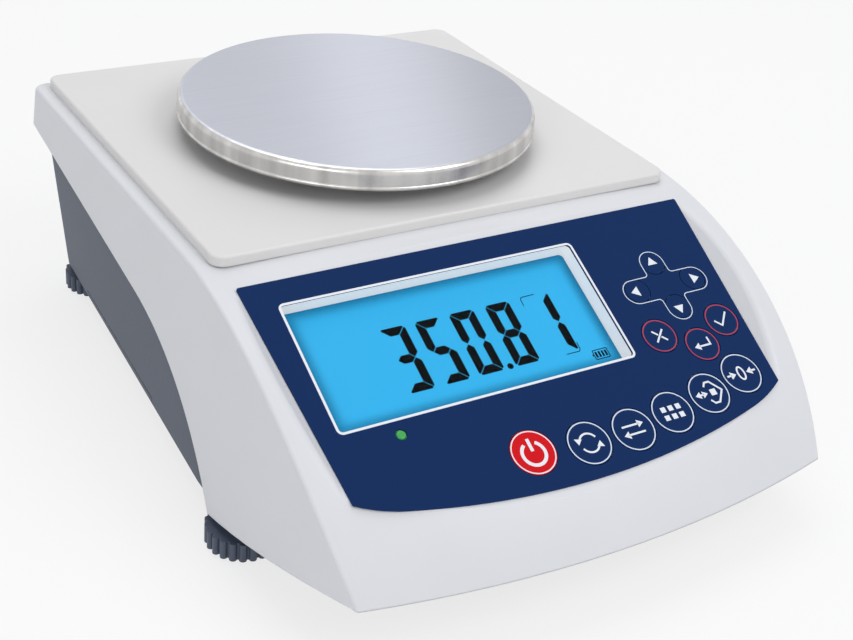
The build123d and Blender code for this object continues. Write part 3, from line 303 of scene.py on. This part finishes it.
def panelSpot(nodeName):
    # where a key's middle lies on the panel
    low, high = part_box(nodeName)
    middle = (low + high) / 2 - panelOrigin
    return middle.dot(panelAcross) / mm, middle.dot(panelUp) / mm


def arc(x, y, radius, start, end, steps=24):
    turns = [radians(start + (end - start) * i / steps) for i in range(steps + 1)]
    return [(x + radius * cos(turn), y + radius * sin(turn)) for turn in turns]


def roundedBox(left, bottom, right, top, radius):
    corners = ((right, top, 0), (left, top, 90), (left, bottom, 180), (right, bottom, 270))
    middleX, middleY = (left + right) / 2, (bottom + top) / 2
    points = []
    for x, y, start in corners:
        inX = x - radius if x > middleX else x + radius
        inY = y - radius if y > middleY else y + radius
        points += arc(inX, inY, radius, start, start + 90, 8)
    return points


def stroke(points, width, closed=False, sharpest=0.35):
    # a line of even width, as four-sided patches with mitred corners; sharpest keeps a mitre from running out
    count = len(points)
    sides = []
    for i, (x, y) in enumerate(points):
        before = points[i - 1] if closed or i > 0 else None
        after = points[(i + 1) % count] if closed or i < count - 1 else None
        ways = []
        for start, end in ((before, (x, y)), ((x, y), after)):
            if start is not None and end is not None:
                size = hypot(end[0] - start[0], end[1] - start[1])
                ways.append(((end[0] - start[0]) / size, (end[1] - start[1]) / size))
        sideX = -sum(way[1] for way in ways)
        sideY = sum(way[0] for way in ways)
        size = hypot(sideX, sideY)
        sideX, sideY = sideX / size, sideY / size
        reach = width / 2 / max(sharpest, sideX * -ways[0][1] + sideY * ways[0][0])
        sides.append(((x - sideX * reach, y - sideY * reach), (x + sideX * reach, y + sideY * reach)))
    following = sides[1:] + sides[:1] if closed else sides[1:]
    return [(here[0], there[0], there[1], here[1]) for here, there in zip(sides, following)]


def ring(x, y, radius, width, steps=72):
    return stroke(arc(x, y, radius, 0, 360, steps)[:-1], width, closed=True)


def arrowHead(x, y, angle, length, width):
    # a filled triangle with its tip at x, y, pointing along the angle
    wayX, wayY = cos(radians(angle)), sin(radians(angle))
    tail = (x - wayX * length, y - wayY * length)
    return [((x, y), (tail[0] - wayY * width / 2, tail[1] + wayX * width / 2),
             (tail[0] + wayY * width / 2, tail[1] - wayX * width / 2))]


def disc(x, y, radius, steps=24):
    return [arc(x, y, radius, 0, 360, steps)[:-1]]


def printShapes(name, patches, level, body, material, thickness=panel["ink"]):
    # flat shapes as a thin layer that stands on a plane parallel to the panel
    form = bmesh.new()
    for patch in patches:
        area = sum(patch[i - 1][0] * patch[i][1] - patch[i][0] * patch[i - 1][1] for i in range(len(patch)))
        corners = patch if area > 0 else patch[::-1]
        form.faces.new([form.verts.new(onPanel(x, y, level + thickness)) for x, y in corners])
    bmesh.ops.remove_doubles(form, verts=form.verts, dist=0.001 * mm)
    rim = [tuple(edge.verts) for edge in form.edges if edge.is_boundary]
    below = {}
    for vertex in (vertex for ends in rim for vertex in ends):
        if vertex not in below:
            below[vertex] = form.verts.new(vertex.co - panelOut * thickness * mm)
    for first, second in rim:
        form.faces.new((first, second, below[second], below[first]))
    bmesh.ops.recalc_face_normals(form, faces=form.faces)
    mesh = bpy.data.meshes.new(name)
    form.to_mesh(mesh)
    form.free()
    piece = bpy.data.objects.new(name, mesh)
    scene.collection.objects.link(piece)
    mesh.materials.append(material)
    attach(piece, body)
    return piece


# white line round the window
windowLine = {"left": -69.75, "bottom": -50.95, "right": 29.55, "top": -8.25, "radius": 1.5, "width": 0.75}
border = roundedBox(*(windowLine[key] for key in ("left", "bottom", "right", "top", "radius")))
printShapes("window_line", stroke(border, windowLine["width"], closed=True), panel["film"], "housing",
            whiteInk)

# outline of a rounded cross round the four arrow keys
arrowField = {"x": 53.9, "y": -30.3, "across": 16.0, "up": 13.0, "arm": 4.3, "inner": 1.2, "width": 0.28}


def crossOutline(field):
    x, y, arm, inner = (field[key] for key in ("x", "y", "arm", "inner"))
    corner = arm + inner
    points = []
    for turn, reach in ((0, field["across"]), (90, field["up"]), (180, field["across"]), (270, field["up"])):
        wayX, wayY = cos(radians(turn)), sin(radians(turn))
        tip = reach - arm
        points += arc(x + wayX * tip, y + wayY * tip, arm, turn - 90, turn + 90, 12)
        # the inner corner, rounded the other way
        innerX, innerY = x + corner * (wayX - wayY), y + corner * (wayY + wayX)
        points += arc(innerX, innerY, inner, turn + 270, turn + 180, 6)
    return points


printShapes("arrow_outline", stroke(crossOutline(arrowField), arrowField["width"], closed=True), panel["film"],
            "housing", ringInk)


# marks on the keys: plain pictograms, drawn in millimetres about each key's middle
keyPrint = {"mainRing": 6.6, "menuRing": 5.5, "ringWidth": 0.36, "line": 0.6, "power": 1.05,
            "headWidth": 1.25, "neck": 0.8, "arrowTip": 2.5, "arrowLength": 2.9, "arrowWidth": 3.6}
lineWidth = keyPrint["line"]


def mirrored(patches):
    return patches + [[(-x, -y) for x, y in patch] for patch in patches]


def square(x, y, half):
    return [(x - half, y - half), (x + half, y - half), (x + half, y + half), (x - half, y + half)]


def arrow(x, y, angle, length, head):
    # a short line that runs a little into its head, whose tip is at x, y
    wayX, wayY = cos(radians(angle)), sin(radians(angle))
    neck = head * keyPrint["neck"]
    shaft = [(x - wayX * length, y - wayY * length), (x - wayX * neck, y - wayY * neck)]
    return stroke(shaft, lineWidth) + arrowHead(x, y, angle, head, head * keyPrint["headWidth"])


zeroOval = [(x * 1.15, y * 2.2) for x, y in arc(0, 0, 1, 0, 360, 32)[:-1]]
tag = [(-0.7, 2.3), (0.3, 3.6), (2.0, 3.6), (4.9, 0.0), (2.0, -3.6), (0.3, -3.6), (-0.7, -2.3)]
marks = {
    "power_key": stroke(arc(0, -0.4, 3.6, 120, 420, 30), keyPrint["power"])
                 + stroke([(0, 0.4), (0, 4.4)], keyPrint["power"]),
    "mode_key": mirrored(stroke(arc(0, 0, 3.0, 25, 145, 14), lineWidth) + arrowHead(-3.5, 0.1, 255, 1.9, 2.4)),
    "unit_key": mirrored(arrow(4.1, 1.4, 0, 7.6, 2.0)),
    "count_key": [square(x, y, 0.85) for x in (-2.7, 0, 2.7) for y in (-1.4, 1.4)],
    "tare_key": stroke(tag, lineWidth) + [square(1.6, 0, 1.05)] + arrow(-0.5, 0, 0, 2.7, 1.9)
                + arrowHead(-5.1, 0, 180, 1.9, 2.4),
    "zero_key": stroke(zeroOval, lineWidth, closed=True) + mirrored(arrow(-2.0, 0, 0, 3.5, 2.1)),
    "escape_key": stroke([(-2.0, -2.0), (2.0, 2.0)], lineWidth)
                  + mirrored(stroke([(-2.0, 2.0), (-0.4, 0.4)], lineWidth)),
    "enter_key": stroke([(2.8, 2.0), (2.8, -0.6), (-1.4, -0.6)], lineWidth)
                 + arrowHead(-3.3, -0.6, 180, 2.1, 2.6),
    "set_key": stroke([(-2.8, 0.2), (-0.8, -1.9), (2.9, 2.4)], lineWidth),
}
menuKeys = ("escape_key", "enter_key", "set_key")
for name, mark in marks.items():
    x, y = panelSpot(name)
    menu = name in menuKeys
    outline = ring(0, 0, keyPrint["menuRing" if menu else "mainRing"], keyPrint["ringWidth"])
    outlineInk = redInk if menu else whiteInk if name == "power_key" else ringInk
    for part, patches, material in (("_ring", outline, outlineInk), ("_mark", mark, whiteInk)):
        moved = [[(x + alongX, y + alongY) for alongX, alongY in patch] for patch in patches]
        printShapes(name + part, moved, panel["film"], name + "_cap", material)

arrowKeys = {"up_arrow_key": 90, "down_arrow_key": 270, "left_arrow_key": 180, "right_arrow_key": 0}
for name, angle in arrowKeys.items():
    x, y = panelSpot(name)
    tipX = x + keyPrint["arrowTip"] * cos(radians(angle))
    tipY = y + keyPrint["arrowTip"] * sin(radians(angle))
    head = arrowHead(tipX, tipY, angle, keyPrint["arrowLength"], keyPrint["arrowWidth"])
    printShapes(name + "_mark", head, panel["film"], name + "_cap", whiteInk)
print("panel printed")


# display: lit glass at the bottom of its well, with black digits
# the edge colours and the width of the edge band below are painted shade, darker along the glass's edges where
# the well's walls shade it
display = {"middle": (-18.3, -27.9), "half": (48.1, 20.1), "fade": (-1.0, 4.6), "light": 0.6, "ink": 0.05,
           "glow": ("#0077A6", "#38BBF4"), "face": ("#004F70", "#1E82B0"), "rough": (0.3, 0.36), "grain": 0.5}


def litGlass():
    # liquid crystal glass over a blue light guide: even in the middle; the deeper blue-green along its edges,
    # in colour and in glow, is painted shade from the well's walls
    material, tree, shader = newMaterial("BlueLitDisplayGlass", Emission__Strength=display["light"],
                                         Specular__IOR__Level=0.12)
    place = millimetres(tree)
    inside = insideBox(tree, place, display["middle"], display["half"])[0]
    fade = addNode(tree, "ShaderNodeMapRange", {"Value": inside}, interpolation_type="SMOOTHSTEP",
                   in_From__Min=display["fade"][0], in_From__Max=display["fade"][1])
    for socketName, (edge, middle) in (("Base Color", display["face"]), ("Emission Color", display["glow"])):
        tone = addNode(tree, "ShaderNodeMix", {"Factor": fade.outputs[0]}, data_type="RGBA",
                       in_A=hexColour(edge), in_B=hexColour(middle))
        tree.links.new(tone.outputs["Result"], shader.inputs[socketName])
    grain = addNode(tree, "ShaderNodeTexNoise", {"Vector": place}, in_Scale=1 / display["grain"], in_Detail=2.0)
    blur = addNode(tree, "ShaderNodeMapRange", {"Value": grain.outputs["Fac"]},
                   in_To__Min=display["rough"][0], in_To__Max=display["rough"][1])
    tree.links.new(blur.outputs[0], shader.inputs["Roughness"])
    return material


dress("display_glass", litGlass())
# crystal that blocks the light: a dense black with hardly a gleam
crystalBlack = coated("LiquidCrystalBlack", "#030406", (0.45, 0.56), 0.5, 0.005, Specular__IOR__Level=0.02)

digit = {"width": 8.5, "height": 21.9, "bar": 2.75, "gap": 0.13, "blunt": 0.9, "bottom": -41.3,
         "lefts": (-41.2, -29.4, -17.7, -5.1, 9.1), "point": (-7.0, -40.7, 1.0)}
reading = "35081"
barsOf = {"0": "abcdef", "1": "bc", "3": "abcdg", "5": "acdfg", "8": "abcdefg"}


def digitBars(character, left):
    # seven bars with mitred ends and thin gaps
    sizes = ("width", "height", "bar", "gap", "blunt", "bottom")
    width, height, bar, gap, blunt, bottom = (digit[key] for key in sizes)
    middle, half, cut = height / 2, bar / 2, blunt / 2
    bars = {
        "a": [(blunt, height), (width - blunt, height), (width - cut - gap, height - cut),
              (width - bar - gap, height - bar), (bar + gap, height - bar), (cut + gap, height - cut)],
        "f": [(0, height - blunt), (cut, height - cut - gap), (bar, height - bar - gap),
              (bar, middle + half + gap), (half, middle + gap), (0, middle + half + gap)],
        "g": [(half + gap, middle), (bar + gap, middle + half), (width - bar - gap, middle + half),
              (width - half - gap, middle), (width - bar - gap, middle - half), (bar + gap, middle - half)],
    }
    bars["b"] = [(width - x, y) for x, y in bars["f"]]
    bars["c"] = [(x, height - y) for x, y in bars["b"]]
    bars["d"] = [(x, height - y) for x, y in bars["a"]]
    bars["e"] = [(x, height - y) for x, y in bars["f"]]
    return [[(left + x, bottom + y) for x, y in bars[name]] for name in barsOf[character]]


shapes = [bar for character, left in zip(reading, digit["lefts"]) for bar in digitBars(character, left)]
shapes += disc(*digit["point"])

# thin corner brackets round the last digit, and a small battery sign
brackets = {"width": 0.25, "upper": [(7.7, -22.5), (7.8, -19.9), (8.4, -19.3), (13.1, -19.2)],
            "lower": [(12.7, -41.6), (17.4, -41.6), (18.0, -41.0), (18.1, -38.4)]}
battery = {"left": 21.4, "bottom": -45.8, "right": 26.6, "top": -42.6, "radius": 0.4, "line": 0.28, "nub": 0.6,
           "bars": 4, "inset": 0.6, "share": 0.6}
shapes += stroke(brackets["upper"], brackets["width"]) + stroke(brackets["lower"], brackets["width"])


def batterySign(sign):
    # a case with a nub on its left and upright bars, each a share of its pitch wide
    left, bottom, right, top, radius = (sign[key] for key in ("left", "bottom", "right", "top", "radius"))
    case = stroke(roundedBox(left, bottom, right, top, radius), sign["line"], closed=True)
    nub = square(left - sign["nub"] / 2, (bottom + top) / 2, sign["nub"] / 2)
    pitch = (right - left - 2 * sign["line"]) / sign["bars"]
    bars = []
    for n in range(sign["bars"]):
        x = left + sign["line"] + (n + 0.5) * pitch
        bars += stroke([(x, bottom + sign["inset"]), (x, top - sign["inset"])], pitch * sign["share"])
    return case + [nub] + bars


shapes += batterySign(battery)
printShapes("reading_digits", shapes, -well["depth"], "housing", crystalBlack,
            display["ink"])
print("display made")


# camera: at the photograph's angle, looking at the pan; degrees and millimetres
camera = {"azimuth": -33.61, "elevation": 30.49, "roll": 5.57, "aside": 23.92, "above": -64.90,
          "distance": 491.97, "lookAt": (0, 43.6, 78.0), "lens": 61.36, "sensor": 36, "nearest": 10}
azimuth, elevation, roll = (radians(camera[key]) for key in ("azimuth", "elevation", "roll"))
back = Vector((sin(azimuth) * cos(elevation), -cos(azimuth) * cos(elevation), sin(elevation)))
right = Vector((cos(azimuth), sin(azimuth), 0))
up = back.cross(right)
right, up = right * cos(roll) + up * sin(roll), up * cos(roll) - right * sin(roll)
eye = Vector(camera["lookAt"]) + back * camera["distance"] + right * camera["aside"] + up * camera["above"]
cameraData = bpy.data.cameras.new("Camera")
cameraData.lens = camera["lens"]
cameraData.sensor_width = camera["sensor"]
cameraData.clip_start = camera["nearest"] * mm
cameraObject = bpy.data.objects.new("Camera", cameraData)
cameraRows = [(*row, place * mm) for *row, place in zip(right, up, back, eye)]
cameraObject.matrix_world = Matrix(cameraRows + [(0, 0, 0, 1)])
scene.collection.objects.link(cameraObject)
scene.camera = cameraObject


# room: a pale floor that keeps the shadow, and a sky that is white where the camera or a reflection sees it
room = {"floorHalf": 6.0, "floor": "#F2F2F2", "floorRough": 0.9, "floorWhite": 0.75,
        "sky": "#E6E9EE", "skyStrength": 0.55, "white": "#FFFFFF"}
half = room["floorHalf"]
floorMesh = bpy.data.meshes.new("Floor")
floorCorners = [(-half, -half, 0), (half, -half, 0), (half, half, 0), (-half, half, 0)]
floorMesh.from_pydata(floorCorners, [], [(0, 1, 2, 3)])
floor = bpy.data.objects.new("Floor", floorMesh)
scene.collection.objects.link(floor)


def seenDirectly(tree):
    # 1 where the camera, a mirror-like surface or clear material looks straight at the background
    path = addNode(tree, "ShaderNodeLightPath")
    first = addNode(tree, "ShaderNodeMath", operation="MAXIMUM",
                    links={0: path.outputs["Is Camera Ray"], 1: path.outputs["Is Glossy Ray"]})
    either = addNode(tree, "ShaderNodeMath", operation="MAXIMUM",
                     links={0: first.outputs[0], 1: path.outputs["Is Transmission Ray"]})
    return either.outputs[0]


# matt background paper: a pale grey that takes the shadow, seen mostly as plain white
floorMaterial, tree, shader = newMaterial("PalePaper", Base__Color=hexColour(room["floor"]),
                                          Roughness=room["floorRough"])
white = addNode(tree, "ShaderNodeEmission", in_Color=hexColour(room["white"]), in_Strength=1.0)
share = addNode(tree, "ShaderNodeMath", {0: seenDirectly(tree)}, operation="MULTIPLY",
                in_1=room["floorWhite"])
mixed = addNode(tree, "ShaderNodeMixShader", {0: share.outputs[0], 1: shader.outputs[0], 2: white.outputs[0]})
tree.links.new(mixed.outputs[0], tree.nodes["Material Output"].inputs["Surface"])
floorMesh.materials.append(floorMaterial)

world = bpy.data.worlds.new("Studio")
world.use_nodes = True
scene.world = world
tree = world.node_tree
tree.nodes.clear()
sky = addNode(tree, "ShaderNodeBackground", in_Color=hexColour(room["sky"]), in_Strength=room["skyStrength"])
white = addNode(tree, "ShaderNodeBackground", in_Color=hexColour(room["white"]), in_Strength=1.0)
mixed = addNode(tree, "ShaderNodeMixShader", {0: seenDirectly(tree), 1: sky.outputs[0], 2: white.outputs[0]})
addNode(tree, "ShaderNodeOutputWorld", {"Surface": mixed.outputs[0]})

# lamps: name, place in metres, size, watts, turn about the lamp's own axis; all face lampTarget
softboxes = (
    ("KeyLight", (0.5, -0.8, 1.0), (0.7, 0.7), 5.3, 0),
    ("TopLight", (0.05, 0.35, 1.15), (0.8, 0.8), 3.7, 0),
    ("FillLight", (-0.95, -0.65, 0.5), (0.8, 0.6), 2.6, 0),
    ("PanStrip", (0.585, 0.7, 0.85), (0.14, 0.9), 0.47, 24),  # draws the bright band across the pan
)
lampTarget = Vector((0, 0, 0.05))
for name, place, size, watts, turn in softboxes:
    lamp = bpy.data.lights.new(name, "AREA")
    lamp.shape = "RECTANGLE"
    lamp.size, lamp.size_y = size
    lamp.energy = watts
    holder = bpy.data.objects.new(name, lamp)
    holder.location = place
    facing = (lampTarget - holder.location).to_track_quat("-Z", "Y").to_matrix()
    holder.rotation_euler = (facing @ Matrix.Rotation(radians(turn), 3, "Z")).to_euler()
    scene.collection.objects.link(holder)
scene.view_settings.view_transform = "Standard"
print("room, light and camera made")
